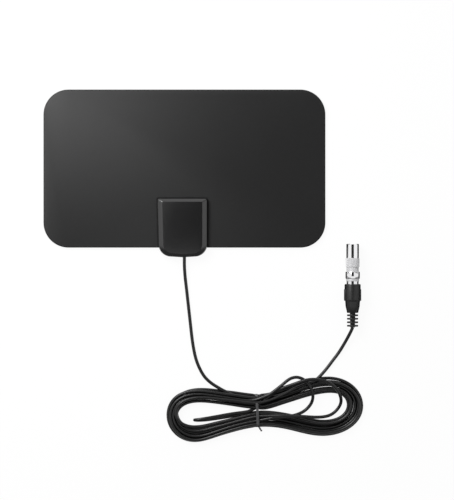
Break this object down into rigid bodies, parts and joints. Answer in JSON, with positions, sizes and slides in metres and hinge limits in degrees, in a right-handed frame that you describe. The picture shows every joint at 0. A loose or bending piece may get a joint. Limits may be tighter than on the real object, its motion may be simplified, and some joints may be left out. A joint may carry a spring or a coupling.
{
  "type": "tv antenna",
  "caption": "Flat rectangular indoor antenna panel with a matching-unit housing, a bundled thin coaxial cord and a screw-on plug with an aerial adapter.",
  "frame": {"origin": "middle of the panel's flat back face, which lies on the table", "axes": "+Z out of the panel's front face, away from the table; +X along the panel's long side; +Y from the housing towards the panel's far long edge"},
  "size_m": [0.2422, 0.2676, 0.0128],
  "materials": {
    "panel_plastic": "fine matt texture",
    "housing_plastic": "satin",
    "foil": "thin rolled foil",
    "board": "solder mask",
    "ferrite": "sintered ferrite",
    "copper_wire": "copper",
    "contact_brass": "plain",
    "screw_steel": "zinc plated",
    "white_nylon": "moulded",
    "white_insulation": "moulded",
    "cord_jacket": "smooth satin jacket",
    "tie_plastic": "flat coated wire",
    "boot_plastic": "moulded, satin",
    "nickel_plate": "nickel plated",
    "bright_plate": "bright nickel plated",
    "dull_plate": "dull nickel plated"
  },
  "bodies": {
    "root": {"front_plate": "panel_plastic", "back_plate": "panel_plastic", "left_foil": "foil", "right_foil": "foil", "front_cover": "housing_plastic", "rear_cover": "housing_plastic", "matching_board": "board", "balun_core": "ferrite", "balun_winding": "copper_wire", "left_contact_rivet": "contact_brass", "right_contact_rivet": "contact_brass", "cover_screw_1": "screw_steel", "cover_screw_2": "screw_steel", "cover_screw_3": "screw_steel", "cover_screw_4": "screw_steel", "cord_stop": "white_nylon", "braid_tail": "copper_wire", "lead_dielectric": "white_insulation", "lead_centre_wire": "copper_wire", "lead_from_housing": "cord_jacket", "cord_hank": "cord_jacket", "twist_tie": "tie_plastic", "lead_to_plug": "cord_jacket", "plug_boot": "boot_plastic", "plug_ferrule": "nickel_plate", "plug_dielectric": "white_insulation", "plug_centre_wire": "copper_wire"},
    "nut": {"coupling_nut": "nickel_plate"},
    "adapter": {"adapter_body": "dull_plate", "adapter_sleeve": "bright_plate", "adapter_insulator": "white_insulation", "adapter_pin": "bright_plate"}
  },
  "joints": [
    {"name": "adapter_travel", "type": "slide", "parent": "root", "child": "adapter", "axis": [0, 1, 0], "range_m": [0, 0.00357]},
    {"name": "nut_turn", "type": "hinge", "parent": "root", "child": "nut", "pos_m": [0.1274, -0.0835, 0.0064], "axis": [0, -1, 0], "range_deg": [0, 1621]}
  ],
  "couplings": [
    {"joint": "nut_turn", "follows": "adapter_travel", "rad_per_m": 7913.3}
  ]
}
